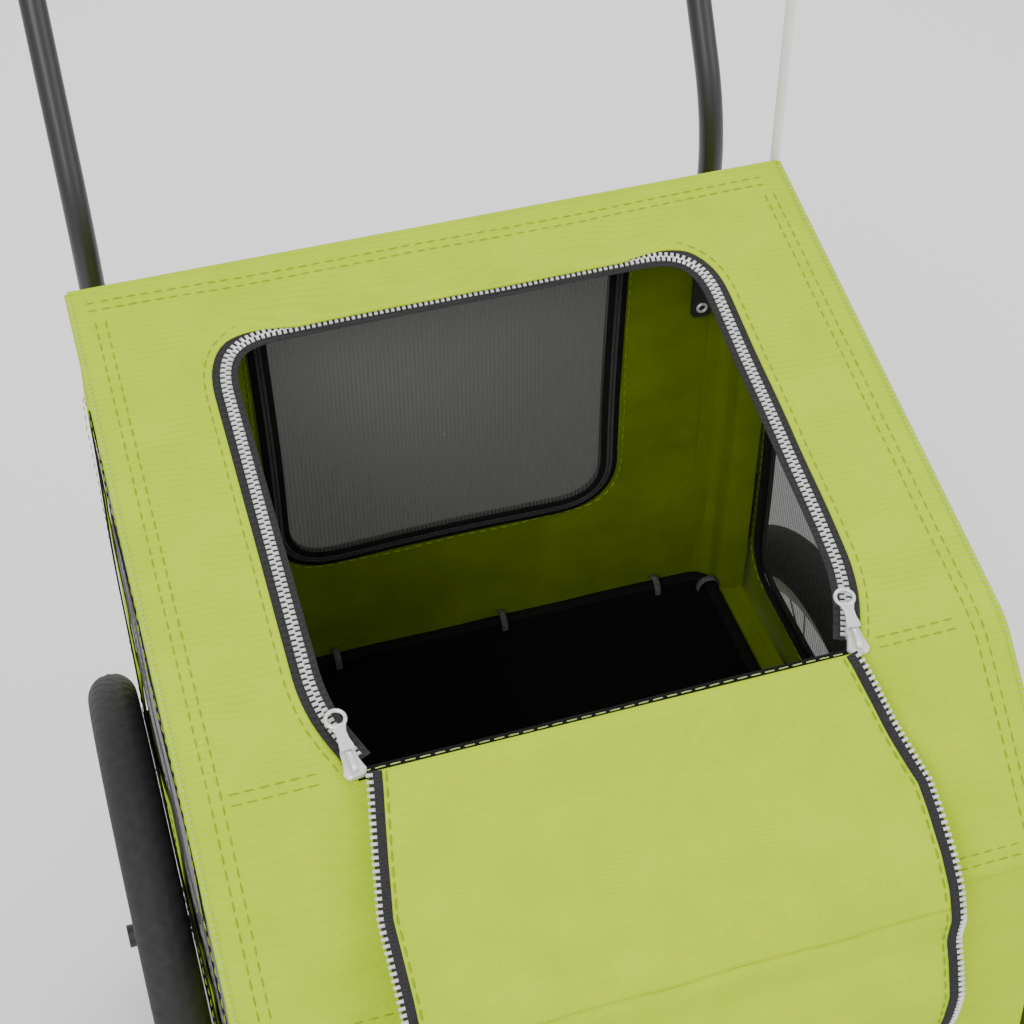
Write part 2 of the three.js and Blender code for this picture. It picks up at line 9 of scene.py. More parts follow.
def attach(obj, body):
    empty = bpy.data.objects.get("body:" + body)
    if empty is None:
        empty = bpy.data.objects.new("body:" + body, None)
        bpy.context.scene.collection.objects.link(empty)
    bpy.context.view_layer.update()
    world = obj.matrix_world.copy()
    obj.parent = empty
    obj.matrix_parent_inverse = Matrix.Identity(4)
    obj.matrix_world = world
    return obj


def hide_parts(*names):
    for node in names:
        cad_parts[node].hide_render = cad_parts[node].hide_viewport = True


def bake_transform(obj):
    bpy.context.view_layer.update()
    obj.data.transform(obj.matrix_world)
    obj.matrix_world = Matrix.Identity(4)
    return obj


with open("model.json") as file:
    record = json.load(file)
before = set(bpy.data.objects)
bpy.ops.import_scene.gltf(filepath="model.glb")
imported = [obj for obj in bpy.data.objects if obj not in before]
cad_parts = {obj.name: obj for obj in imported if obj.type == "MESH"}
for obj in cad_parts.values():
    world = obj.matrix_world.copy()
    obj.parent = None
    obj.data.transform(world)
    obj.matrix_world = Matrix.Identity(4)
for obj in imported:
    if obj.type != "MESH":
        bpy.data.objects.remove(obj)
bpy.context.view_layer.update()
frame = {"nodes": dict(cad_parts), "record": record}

# The rear wall's plane and the rear edge of the roof, in the row frame. Along the roof, s runs forwards from that edge.
REAR_Y, REAR_Z = 0.4912, 0.890
HALF = 0.300
ROOF_END, ROOF_ANGLE = 0.4617, math.atan2(0.099, 0.451)
SLOPE_ANGLE = math.atan2(0.111, 0.134)
HATCH_REAR, HATCH_FRONT, HATCH_HALF, HATCH_FRONT_HALF = 0.062, 0.463, 0.212, 0.188
MAT_Z = 0.3976
# The handle's legs stand behind the rear wall, then lean back over their upper length.
HANDLE_HALF, HANDLE_BACK, HANDLE_FOOT, HANDLE_BEND = 0.280, 0.090, 0.582, 0.880
HANDLE_LEAN, HANDLE_LENGTH, HANDLE_RADIUS, HANDLE_CURVE = 0.541, 0.300, 0.0110, 0.055
HOOP_CURVE, HOOP_SLEEVE_RADIUS = 0.045, 0.0112
SLIDER_X, SLIDER_S, SLIDER_LIFT, SLIDER_TURN = 0.188, 0.452, 0.0022, 0.1


# ---------------------------------------------------------------- camera
def add_camera():
    data = bpy.data.cameras.new("camera")
    data.lens, data.sensor_width, data.clip_start = 68.91, 36.0, 0.05
    camera = bpy.data.objects.new("camera", data)
    bpy.context.scene.collection.objects.link(camera)
    forward = Vector((0.2086, 0.6715, -0.7110)).normalized()
    camera.location = (-0.327, REAR_Y - 1.26, REAR_Z + 0.983)
    camera.rotation_euler = forward.to_track_quat("-Z", "Y").to_euler()
    bpy.context.scene.camera = camera


add_camera()


# ---------------------------------------------------------------- materials
def material(name, color, rough=0.8, metal=0.0):
    m = bpy.data.materials.new(name)
    m.use_nodes = True
    nodes, links = m.node_tree.nodes, m.node_tree.links
    shader = nodes["Principled BSDF"]
    shader.inputs["Base Color"].default_value = (*color, 1)
    shader.inputs["Roughness"].default_value = rough
    shader.inputs["Metallic"].default_value = metal
    return m, nodes, links, shader


def node(nodes, kind, **values):
    n = nodes.new(kind)
    for key, value in values.items():
        if key in n.inputs:
            n.inputs[key].default_value = value
        else:
            setattr(n, key, value)
    return n


def position(nodes):
    return node(nodes, "ShaderNodeTexCoord").outputs["Object"]


def mix(nodes, links, low, high, factor):
    m = node(nodes, "ShaderNodeMix", data_type="RGBA")
    m.inputs["A"].default_value = (*low, 1)
    m.inputs["B"].default_value = (*high, 1)
    links.new(factor, m.inputs["Factor"])
    return m.outputs["Result"]


def bump(nodes, links, shader, height, strength, distance=0.001):
    b = node(nodes, "ShaderNodeBump", Strength=strength, Distance=distance)
    links.new(height, b.inputs["Height"])
    links.new(b.outputs["Normal"], shader.inputs["Normal"])


def woven(name, dark, light, pitch, rough=0.9, strength=0.5, blotch=25.0):
    """Cloth with a plain weave of that pitch, in metres, and slow changes of shade."""
    m, nodes, links, shader = material(name, light, rough)
    where = position(nodes)
    waves = []
    for direction in "XYZ":
        w = node(nodes, "ShaderNodeTexWave", bands_direction=direction, Scale=0.314 / pitch, Distortion=0.6)
        w.inputs["Detail"].default_value = 1.0
        w.inputs["Detail Scale"].default_value = 2.0
        links.new(where, w.inputs["Vector"])
        waves.append(w.outputs["Fac"])
    first = node(nodes, "ShaderNodeMath", operation="MULTIPLY")
    links.new(waves[0], first.inputs[0])
    links.new(waves[1], first.inputs[1])
    weave = node(nodes, "ShaderNodeMath", operation="ADD")
    links.new(first.outputs[0], weave.inputs[0])
    links.new(waves[2], weave.inputs[1])
    noise = node(nodes, "ShaderNodeTexNoise", Scale=blotch, Detail=6.0)
    links.new(where, noise.inputs["Vector"])
    shade = node(nodes, "ShaderNodeMath", operation="MULTIPLY_ADD")
    shade.inputs[1].default_value = 0.22
    links.new(weave.outputs[0], shade.inputs[0])
    links.new(noise.outputs["Fac"], shade.inputs[2])
    links.new(mix(nodes, links, dark, light, shade.outputs[0]), shader.inputs["Base Color"])
    bump(nodes, links, shader, weave.outputs[0], strength, 0.0004)
    shader.inputs["Specular IOR Level"].default_value = 0.2
    return m


def grainy(name, dark, light, scale, rough, metal=0.0, strength=0.15, coat=0.0):
    """A hard surface with fine grain in its colour, roughness and height."""
    m, nodes, links, shader = material(name, light, rough, metal)
    noise = node(nodes, "ShaderNodeTexNoise", Scale=scale, Detail=8.0, Roughness=0.65)
    links.new(position(nodes), noise.inputs["Vector"])
    links.new(mix(nodes, links, dark, light, noise.outputs["Fac"]), shader.inputs["Base Color"])
    spread = node(nodes, "ShaderNodeMapRange")
    spread.inputs["To Min"].default_value = max(rough - 0.08, 0.05)
    spread.inputs["To Max"].default_value = min(rough + 0.12, 1.0)
    links.new(noise.outputs["Fac"], spread.inputs["Value"])
    links.new(spread.outputs["Result"], shader.inputs["Roughness"])
    bump(nodes, links, shader, noise.outputs["Fac"], strength, 0.0006)
    shader.inputs["Coat Weight"].default_value = coat
    return m


def stripes(nodes, links, split, axis, pitch):
    """1 on each thread of that pitch along an axis, and 0 half way between threads."""
    scaled = node(nodes, "ShaderNodeMath", operation="MULTIPLY")
    scaled.inputs[1].default_value = 2 * math.pi / pitch
    links.new(split.outputs[axis], scaled.inputs[0])
    wave = node(nodes, "ShaderNodeMath", operation="COSINE")
    links.new(scaled.outputs[0], wave.inputs[0])
    level = node(nodes, "ShaderNodeMapRange")
    level.inputs["From Min"].default_value = -1.0
    links.new(wave.outputs[0], level.inputs["Value"])
    return level.outputs["Result"]


def netting(name, dark, light, axes, clear, rib=0.0038, row=0.0016):
    """Open mesh in the plane of two axes: light knots in columns on a darker ground, with a share of it clear."""
    m, nodes, links, shader = material(name, light, 0.8)
    split = node(nodes, "ShaderNodeSeparateXYZ")
    links.new(position(nodes), split.inputs[0])
    column = stripes(nodes, links, split, axes[0], rib)
    rows = stripes(nodes, links, split, axes[1], row)
    knot = node(nodes, "ShaderNodeMath", operation="MULTIPLY")
    links.new(column, knot.inputs[0])
    links.new(rows, knot.inputs[1])
    links.new(mix(nodes, links, dark, light, knot.outputs[0]), shader.inputs["Base Color"])
    open_part = node(nodes, "ShaderNodeMapRange")
    open_part.inputs["From Min"].default_value = 0.12
    open_part.inputs["From Max"].default_value = 0.55
    open_part.inputs["To Min"].default_value = clear
    open_part.inputs["To Max"].default_value = 0.0
    links.new(knot.outputs[0], open_part.inputs["Value"])
    through = node(nodes, "ShaderNodeBsdfTransparent")
    blend = node(nodes, "ShaderNodeMixShader")
    links.new(open_part.outputs["Result"], blend.inputs["Fac"])
    links.new(shader.outputs[0], blend.inputs[1])
    links.new(through.outputs[0], blend.inputs[2])
    links.new(blend.outputs[0], nodes["Material Output"].inputs["Surface"])
    return m


def tread(name):
    """Tyre rubber with fine grain in its colour and height; the curved grooves round the crown are in the tyres' mesh.
    """
    m, nodes, links, shader = material(name, (0.03, 0.03, 0.032), 0.75)
    where = position(nodes)
    noise = node(nodes, "ShaderNodeTexNoise", Scale=120.0, Detail=6.0)
    links.new(where, noise.inputs["Vector"])
    links.new(mix(nodes, links, (0.010, 0.010, 0.010), (0.032, 0.032, 0.033), noise.outputs["Fac"]), shader.inputs["Base Color"])
    bump(nodes, links, shader, noise.outputs["Fac"], 0.3, 0.0006)
    return m


LIME = woven("lime_cloth", (0.38, 0.56, 0.0), (0.52, 0.72, 0.002), 0.0011, strength=0.5)
# A darker copy of the lime cloth for the cabin's inner faces, the sleeves and the floor edge: painted shade of the dim
# inside of the cabin.
PAINTED_SHADE_LIME = woven("lime_painted_shade", (0.09, 0.135, 0.0), (0.16, 0.23, 0.0), 0.0011, strength=0.3)
THREAD = woven("green_thread", (0.20, 0.33, 0.008), (0.30, 0.46, 0.015), 0.0007, strength=0.6, blotch=90.0)
PALE_THREAD = woven("pale_thread", (0.45, 0.62, 0.12), (0.66, 0.80, 0.28), 0.0007, strength=0.6, blotch=90.0)
TAPE = woven("charcoal_tape", (0.006, 0.006, 0.006), (0.045, 0.045, 0.046), 0.0012, strength=0.8, blotch=700.0)
BINDING = woven("black_binding", (0.002, 0.002, 0.002), (0.010, 0.010, 0.010), 0.001, strength=0.6, blotch=120.0)
MAT = woven("black_mat_cloth", (0.0008, 0.0008, 0.0008), (0.003, 0.003, 0.003), 0.0014, rough=1.0, strength=0.4, blotch=60.0)
WEBBING = woven("grey_webbing", (0.01, 0.01, 0.01), (0.16, 0.16, 0.155), 0.0012, strength=0.8, blotch=250.0)
COIL = grainy("dark_coil", (0.02, 0.02, 0.02), (0.10, 0.10, 0.10), 500.0, 0.45)
SIDE_NET = netting("side_net", (0.015, 0.015, 0.014), (0.10, 0.10, 0.095), ("Y", "Z"), 0.22)
REAR_NET = netting("rear_net", (0.045, 0.048, 0.040), (0.20, 0.21, 0.185), ("X", "Z"), 0.04)
PENNANT = woven("orange_pennant", (0.80, 0.10, 0.005), (1.0, 0.20, 0.02), 0.0009, strength=0.4)
TOOTH = grainy("zinc_tooth", (0.62, 0.62, 0.61), (0.90, 0.90, 0.89), 400.0, 0.35, 0.5)
SLIDER = grainy("zinc_slider", (0.74, 0.74, 0.73), (0.92, 0.92, 0.91), 250.0, 0.3, 0.5, coat=0.2)
CAD_LOOKS = {
    "black_tube": grainy("black_powder_coat", (0.006, 0.006, 0.007), (0.02, 0.02, 0.021), 900.0, 0.38, 0.0, 0.25, 0.1),
    "black_plastic": grainy("black_plastic", (0.010, 0.010, 0.011), (0.03, 0.03, 0.031), 300.0, 0.5, 0.0, 0.2),
    "silver_alloy": grainy("silver_alloy", (0.42, 0.43, 0.44), (0.72, 0.73, 0.74), 180.0, 0.28, 1.0, 0.05),
    "zinc_plated": SLIDER,
    "handle_foam": grainy("handle_foam", (0.006, 0.006, 0.006), (0.026, 0.026, 0.027), 1200.0, 0.92, 0.0, 0.8),
    "fibreglass": grainy("white_fibreglass", (0.72, 0.72, 0.70), (0.88, 0.88, 0.87), 60.0, 0.32, 0.0, 0.05, 0.2),
    "tyre_rubber": tread("tyre_rubber"),
    "green_fabric": LIME,
    "mesh_window": SIDE_NET,
    "black_tape": TAPE,
    "floor_mat_cloth": MAT,
    "pennant_cloth": PENNANT,
}
def soft_shading(angle):
    """A modifier's node group that shades faces smooth and keeps edges sharper than the angle crisp."""
    group = bpy.data.node_groups.new("soft_shading", "GeometryNodeTree")
    for way in ("INPUT", "OUTPUT"):
        group.interface.new_socket("Geometry", in_out=way, socket_type="NodeSocketGeometry")
    new, links = group.nodes.new, group.links
    source, result = new("NodeGroupInput"), new("NodeGroupOutput")
    bend, gentle = new("GeometryNodeInputMeshEdgeAngle"), new("FunctionNodeCompare")
    gentle.operation = "LESS_THAN"
    gentle.inputs[1].default_value = math.radians(angle)
    edges, faces = new("GeometryNodeSetShadeSmooth"), new("GeometryNodeSetShadeSmooth")
    edges.domain, faces.domain = "EDGE", "FACE"
    links.new(bend.outputs[0], gentle.inputs[0])
    links.new(source.outputs[0], edges.inputs["Geometry"])
    links.new(gentle.outputs[0], edges.inputs["Shade Smooth"])
    links.new(edges.outputs[0], faces.inputs["Geometry"])
    faces.inputs["Shade Smooth"].default_value = True
    links.new(faces.outputs[0], result.inputs[0])
    return group


SOFT = soft_shading(38)
for part in frame["record"]["subparts"]:
    node_object = frame["nodes"][part["node"]]
    for slot in node_object.material_slots:
        slot.material = CAD_LOOKS[part["material_slot"]]
    node_object.modifiers.new("soft_shading", "NODES").node_group = SOFT


# ---------------------------------------------------------------- meshes
def mesh_object(name, verts, faces, look, smooth=True, thickness=0.0, body="cabin"):
    data = bpy.data.meshes.new(name)
    data.from_pydata([tuple(v) for v in verts], [], [tuple(f) for f in faces])
    data.validate()
    data.materials.append(look)
    data.polygons.foreach_set("use_smooth", [smooth] * len(data.polygons))
    made = bpy.data.objects.new(name, data)
    bpy.context.scene.collection.objects.link(made)
    if thickness:
        s = made.modifiers.new("thickness", "SOLIDIFY")
        s.thickness, s.offset = thickness, 0.0
    if body:
        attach(made, body)
    return made


def roof_point(x, s, up=0.0):
    """A point of the roof: x across, s forwards from its rear edge along the cloth, up out of the cloth."""
    bend = 0.012
    t = min(max((s - ROOF_END + bend) / (2 * bend), 0.0), 1.0)
    a, b = ROOF_ANGLE, SLOPE_ANGLE
    corner = (ROOF_END * math.cos(a), ROOF_END * math.sin(a))
    if s <= ROOF_END - bend:
        y, z = s * math.cos(a), s * math.sin(a)
    elif s >= ROOF_END + bend:
        y = corner[0] + (s - ROOF_END) * math.cos(b)
        z = corner[1] + (s - ROOF_END) * math.sin(b)
    else:
        p0 = (corner[0] - bend * math.cos(a), corner[1] - bend * math.sin(a))
        p2 = (corner[0] + bend * math.cos(b), corner[1] + bend * math.sin(b))
        y, z = (p0[i] * (1 - t) ** 2 + 2 * corner[i] * t * (1 - t) + p2[i] * t * t for i in (0, 1))
    angle = a + (b - a) * t
    return (x, REAR_Y - y - up * math.sin(angle), REAR_Z - z + up * math.cos(angle))


def rounded_path(corners, radii, step):
    """Evenly spaced points round a closed outline of corners, each rounded to its own radius, from the first corner's arc."""
    points = []
    count = len(corners)
    for i, c in enumerate(corners):
        c = np.array(c, float)
        before = np.array(corners[i - 1], float) - c
        after = np.array(corners[(i + 1) % count], float) - c
        before, after = before / np.linalg.norm(before), after / np.linalg.norm(after)
        p0, p2 = c + before * radii[i], c + after * radii[i]
        for t in np.linspace(0, 1, 13 if radii[i] > 0 else 1):
            points.append(p0 * (1 - t) ** 2 + 2 * c * t * (1 - t) + p2 * t * t)
    return resample(np.array(points), step, True)


def resample(points, step, closed=False, count=None):
    p = np.array(points, float)
    if closed:
        p = np.vstack([p, p[:1]])
    along = np.concatenate([[0], np.cumsum(np.linalg.norm(np.diff(p, axis=0), axis=1))])
    count = count or max(int(round(along[-1] / step)), 3)
    at = np.linspace(0, along[-1], count, endpoint=False) if closed else np.linspace(0, along[-1], count)
    return np.stack([np.interp(at, along, p[:, k]) for k in range(p.shape[1])], axis=1)


def grid_faces(rows, columns, close_rows=False):
    return [
        (i * columns + j, (i + 1) % rows * columns + j, (i + 1) % rows * columns + j + 1, i * columns + j + 1)
        for i in range(rows if close_rows else rows - 1)
        for j in range(columns - 1)
    ]


def ring_sheet(name, inner, outer, place, look, rows=26, thickness=0.0012, body="cabin"):
    """A sheet between two closed outlines of the same count of points. place gives each flat point its spot in space."""
    count = len(inner)
    t = np.linspace(0, 1, rows) ** 1.15
    flat = inner[:, None, :] * (1 - t)[None, :, None] + outer[:, None, :] * t[None, :, None]
    verts = [place(*flat[i, j]) for i in range(count) for j in range(rows)]
    return mesh_object(name, verts, grid_faces(count, rows, True), look, True, thickness, body)


def ribbon(name, path, normals, width, look, height=0.0012, closed=False, side=0.0, body="cabin", lift=0.0006):
    """A flat tape of that width along a path, lying on the surface whose normals are given."""
    p, n = np.array(path), np.array(normals)
    ahead = np.roll(p, -1, 0) - np.roll(p, 1, 0)
    if not closed:
        ahead[0], ahead[-1] = p[1] - p[0], p[-1] - p[-2]
    across = np.cross(ahead, n)
    across /= np.linalg.norm(across, axis=1)[:, None]
    offsets = [(-width / 2, 0), (-width / 2 * 0.8, height), (width / 2 * 0.8, height), (width / 2, 0)]
    verts = [p[i] + across[i] * (side + a) + n[i] * (lift + b) for i in range(len(p)) for a, b in offsets]
    return mesh_object(name, verts, grid_faces(len(p), 4, closed), look, True, 0.0, body)


def dashes(name, paths, look, pitch=0.0107, length=0.0074, width=0.0011, body="cabin"):
    """Stitches along paths of (points, normals): each a small capsule that stands up from the cloth and dips in at its ends."""
    verts, faces = [], []
    for points, normals in paths:
        p, n = np.array(points), np.array(normals)
        along = np.concatenate([[0], np.cumsum(np.linalg.norm(np.diff(p, axis=0), axis=1))])
        for start in np.arange(pitch * 0.2, along[-1] - length, pitch):
            base = len(verts)
            for k in range(5):
                at = start + length * k / 4
                c = np.array([np.interp(at, along, p[:, i]) for i in range(3)])
                u = np.array([np.interp(at, along, n[:, i]) for i in range(3)])
                d = np.array([np.interp(at + 0.001, along, p[:, i]) for i in range(3)]) - c
                side = np.cross(d, u)
                side /= max(np.linalg.norm(side), 1e-9)
                swell = math.sin(math.pi * (k + 0.35) / 4.7)
                for a, b in ((-1, 0.0), (-0.6, 0.8), (0.6, 0.8), (1, 0.0)):
                    verts.append(c + side * a * width / 2 * (0.6 + 0.4 * swell) + u * (b * swell * width - 0.0001))
            faces += [tuple(base + v for v in f) for f in grid_faces(5, 4)]
    return mesh_object(name, verts, faces, look, True, 0.0, body)


def teeth(name, path, normals, look, pitch=0.0052, rows=(-0.0016, 0.0016), size=(0.0026, 0.0042, 0.0022), body="cabin"):
    """Zipper teeth: one small bevelled block each pitch, in one or two rows."""
    p, n = np.array(path), np.array(normals)
    along = np.concatenate([[0], np.cumsum(np.linalg.norm(np.diff(p, axis=0), axis=1))])
    verts, faces = [], []
    for r, offset in enumerate(rows):
        for at in np.arange(pitch * (0.5 + 0.5 * r), along[-1], pitch):
            c = np.array([np.interp(at, along, p[:, i]) for i in range(3)])
            u = np.array([np.interp(at, along, n[:, i]) for i in range(3)])
            d = np.array([np.interp(min(at + 0.001, along[-1]), along, p[:, i]) for i in range(3)])
            d -= np.array([np.interp(at - 0.001, along, p[:, i]) for i in range(3)])
            d /= np.linalg.norm(d)
            side = np.cross(d, u)
            base = len(verts)
            for up, shrink in ((0.0, 1.0), (size[2] * 0.6, 1.0), (size[2], 0.6)):
                for a, b in ((-1, -1), (1, -1), (1, 1), (-1, 1)):
                    x, y = a * size[0] / 2 * shrink, b * size[1] / 2 * shrink
                    verts.append(c + d * x + side * (y + offset) + u * (up + 0.0008))
            faces += [(base + 8, base + 9, base + 10, base + 11)]
            for level in (0, 4):
                for k in range(4):
                    a, b = base + level + k, base + level + (k + 1) % 4
                    faces.append((a, b, b + 4, a + 4))
    return mesh_object(name, verts, faces, look, False, 0.0, body)


def on_roof(points, up=0.0):
    """Roof points and their normals for flat (x, s) points."""
    places = [roof_point(x, s, up + cloth(x, s)) for x, s in points]
    return np.array(places), np.array([np.subtract(roof_point(x, s, 1.0), roof_point(x, s)) for x, s in points])


def waves(u, v, size, amount, seed):
    """A smooth random height at (u, v), in metres, whose lumps are about that size."""
    rng = np.random.default_rng(seed)
    total = 0.0
    for k in range(7):
        angle, phase = rng.uniform(0, 2 * math.pi, 2)
        f = 2 * math.pi / (size * rng.uniform(0.6, 1.8))
        total += math.sin(f * (u * math.cos(angle) + v * math.sin(angle)) + phase)
    return total * amount / 7


def pucker(distance, along, reach=0.006, amount=0.0005):
    """Cloth drawn in at each stitch of a seam."""
    return -amount * math.exp(-((distance / reach) ** 2)) * (1 + 0.5 * math.cos(2 * math.pi * along / 0.0107))


def cloth(x, s):
    """How far the roof's cloth stands off its flat shape."""
    h = waves(x, s, 0.16, 0.0022, 3) + waves(x, s, 0.05, 0.0007, 4)
    edge = min(HALF - abs(x), s + 0.004)
    h *= min(max(edge / 0.03, 0.15), 1.0)
    for line in (0.016, 0.456, 0.627):
        h += pucker(s - line, x)
    h += pucker(abs(x) - 0.283, s)
    return h


def polygon_match(inner, centre, polygon):
    """The points of a polygon's edge that lie straight out from the inner outline's points, seen from a centre."""
    out = []
    corners = [np.array(c, float) - centre for c in polygon]
    for p in inner:
        d = np.array(p) - centre
        best = None
        for i, a in enumerate(corners):
            b = corners[(i + 1) % len(corners)] - a
            det = d[0] * -b[1] + d[1] * b[0]
            if abs(det) < 1e-12:
                continue
            t = (a[0] * -b[1] + a[1] * b[0]) / det
            u = (d[0] * a[1] - d[1] * a[0]) / det
            if t > 0 and -1e-6 <= u <= 1 + 1e-6 and (best is None or t < best):
                best = t
        out.append(centre + d * best)
    return np.array(out)


def inset(points, distance, closed=True):
    """A flat outline moved towards its left-hand side by that distance."""
    p = np.array(points)
    ahead = np.roll(p, -1, 0) - np.roll(p, 1, 0)
    if not closed:
        ahead[0], ahead[-1] = p[1] - p[0], p[-1] - p[-2]
    ahead /= np.linalg.norm(ahead, axis=1)[:, None]
    return p + np.stack([-ahead[:, 1], ahead[:, 0]], axis=1) * distance


# ---------------------------------------------------------------- roof
def bent_path(knots, cut, steps):
    """A path through straight lengths whose corners are quadratic bends, each starting cut before its knot."""
    path = [np.array(knots[0])]
    for before, knot, after in zip(knots, knots[1:], knots[2:]):
        before, knot, after = np.array(before), np.array(knot), np.array(after)
        p0 = knot + (before - knot) / np.linalg.norm(before - knot) * cut
        p2 = knot + (after - knot) / np.linalg.norm(after - knot) * cut
        path += [p0 * (1 - u) ** 2 + 2 * knot * u * (1 - u) + p2 * u * u for u in np.linspace(0, 1, steps)]
    return path + [np.array(knots[-1])]


def build_roof():
    corners = [
        (-HATCH_HALF, HATCH_REAR),
        (HATCH_HALF, HATCH_REAR),
        (HATCH_HALF, 0.405),
        (HATCH_FRONT_HALF, HATCH_FRONT),
        (-HATCH_FRONT_HALF, HATCH_FRONT),
        (-HATCH_HALF, 0.405),
    ]
    outline = rounded_path(corners, [0.06, 0.06, 0.03, 0.002, 0.002, 0.03], 0.006)
    centre = np.array([0.0, 0.27])
    edge = [(-HALF - 0.0035, -0.003), (HALF + 0.0035, -0.003), (HALF + 0.0035, 0.640), (-HALF - 0.0035, 0.640)]
    outer = polygon_match(outline, centre, edge)
    # Along the rear the cloth sags forwards over the zipper and hides most of it.
    hooded = outline.copy()
    for p in hooded:
        if p[1] < 0.08:
            p[1] += 0.0125 * min(max((0.196 - abs(p[0])) / 0.06, 0.0), 1.0)

    def skin_point(x, s):
        lift = 0.0042 * min(max((0.196 - abs(x)) / 0.05, 0.0), 1.0) * math.exp(-(((s - 0.072) / 0.016) ** 2))
        return roof_point(x, s, cloth(x, s) + lift)

    skin = ring_sheet("roof_cloth", hooded, outer, skin_point, LIME, 34, 0.0016)
    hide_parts("roof_panel")

    # The zipper runs up one side, across the rear and down the other side; the front edge has a hem instead.
    start = next(i for i, p in enumerate(outline) if p[0] < 0 and p[1] > 0.40 and p[0] > -0.2115)
    ring = np.roll(outline, -start, axis=0)
    path = resample(np.array([p for p in ring if p[1] < 0.456]), 0.003)
    tapes = [("hatch_tape_outer", 0.0036, 0.0072), ("hatch_chain_tape", 0.0105, 0.0075), ("hatch_tape_inner", 0.0168, 0.0066)]
    for name, distance, width in tapes:
        points, normals = on_roof(inset(path, distance, False))
        ribbon(name, points, normals, width, TAPE, 0.0011 if "chain" in name else 0.0006)
    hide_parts("hatch_zipper")
    points, normals = on_roof(inset(path, 0.0105, False))
    teeth("hatch_teeth", points, normals, TOOTH, 0.0046, (-0.0019, 0.0019), (0.0028, 0.0046, 0.0024))

    span = np.linspace(-0.186, 0.186, 80)
    points, normals = on_roof([(x, HATCH_FRONT - 0.003) for x in span])
    ribbon("hatch_hem", points, normals, 0.009, BINDING, 0.0012)
    dashes("hatch_hem_stitches", [on_roof([(x, HATCH_FRONT - 0.0045) for x in span], 0.0022)], PALE_THREAD)

    across = np.linspace(-0.293, 0.293, 120)
    down = np.linspace(0.028, 0.625, 130)
    lines = [[(x, s + 0.003 * (1 - (x / 0.3) ** 2)) for x in across] for s in (0.010, 0.018)]
    lines += [[(x, s) for s in down] for x in (-0.287, -0.279, 0.279, 0.287)]
    for s in (0.452, 0.460):
        lines += [[(x, s) for x in np.linspace(a, b, 30)] for a, b in ((-0.276, -0.203), (0.203, 0.276))]
    lines += [[(x, s) for x in across] for s in (0.622, 0.630)]
    lines.append([tuple(p) for p in resample(inset(path, -0.006, False), 0.004)])
    dashes("roof_stitches", [on_roof(line, 0.0009) for line in lines], THREAD)

    # Piping along the two side edges, sewn over with a pale overlock thread, and along the rear edge.
    for side, x in (("left", HALF + 0.0035), ("right", -HALF - 0.0035)):
        path3 = [roof_point(x, s, -0.0005) for s in np.linspace(-0.002, 0.640, 150)]
        tube("%s_roof_piping" % side, path3, 0.0026, LIME)
        lines = []
        for s in np.arange(0.004, 0.636, 0.0042):
            a = roof_point(x - math.copysign(0.0035, x), s, 0.0022)
            b = roof_point(x + math.copysign(0.0016, x), s + 0.0012, 0.0020)
            up = np.subtract(roof_point(x, s, 1.0), roof_point(x, s))
            lines.append((np.linspace(a, b, 4), np.array([up] * 4)))
        dashes("%s_overlock" % side, lines, PALE_THREAD, 0.003, 0.0044, 0.0009)
    path3 = [roof_point(x, -0.003, -0.001) for x in np.linspace(-HALF - 0.003, HALF + 0.003, 120)]
    tube("rear_roof_piping", path3, 0.0028, LIME)


def tube(name, path, radius, look, closed=False, sides=10, body="cabin", caps=True):
    """A round cord of that radius along a path of points, fixed to a body."""
    p = np.array(path, float)
    ahead = np.roll(p, -1, 0) - np.roll(p, 1, 0)
    if not closed:
        ahead[0], ahead[-1] = p[1] - p[0], p[-1] - p[-2]
    ahead /= np.linalg.norm(ahead, axis=1)[:, None]
    up = np.array([0.31, 0.17, 0.93])
    verts = []
    for c, d in zip(p, ahead):
        side = np.cross(d, up)
        side /= np.linalg.norm(side)
        other = np.cross(side, d)
        up = other
        for k in range(sides):
            t = 2 * math.pi * k / sides
            verts.append(c + radius * (side * math.cos(t) + other * math.sin(t)))
    faces = []
    rows = len(p)
    for i in range(rows if closed else rows - 1):
        for k in range(sides):
            a, b = i * sides + k, i * sides + (k + 1) % sides
            c, d = (i + 1) % rows * sides + (k + 1) % sides, (i + 1) % rows * sides + k
            faces.append((a, d, c, b))
    if not closed and caps:
        faces.append(tuple(range(sides)))
        faces.append(tuple(reversed(range((rows - 1) * sides, rows * sides))))
    return mesh_object(name, verts, faces, look, True, 0.0, body)


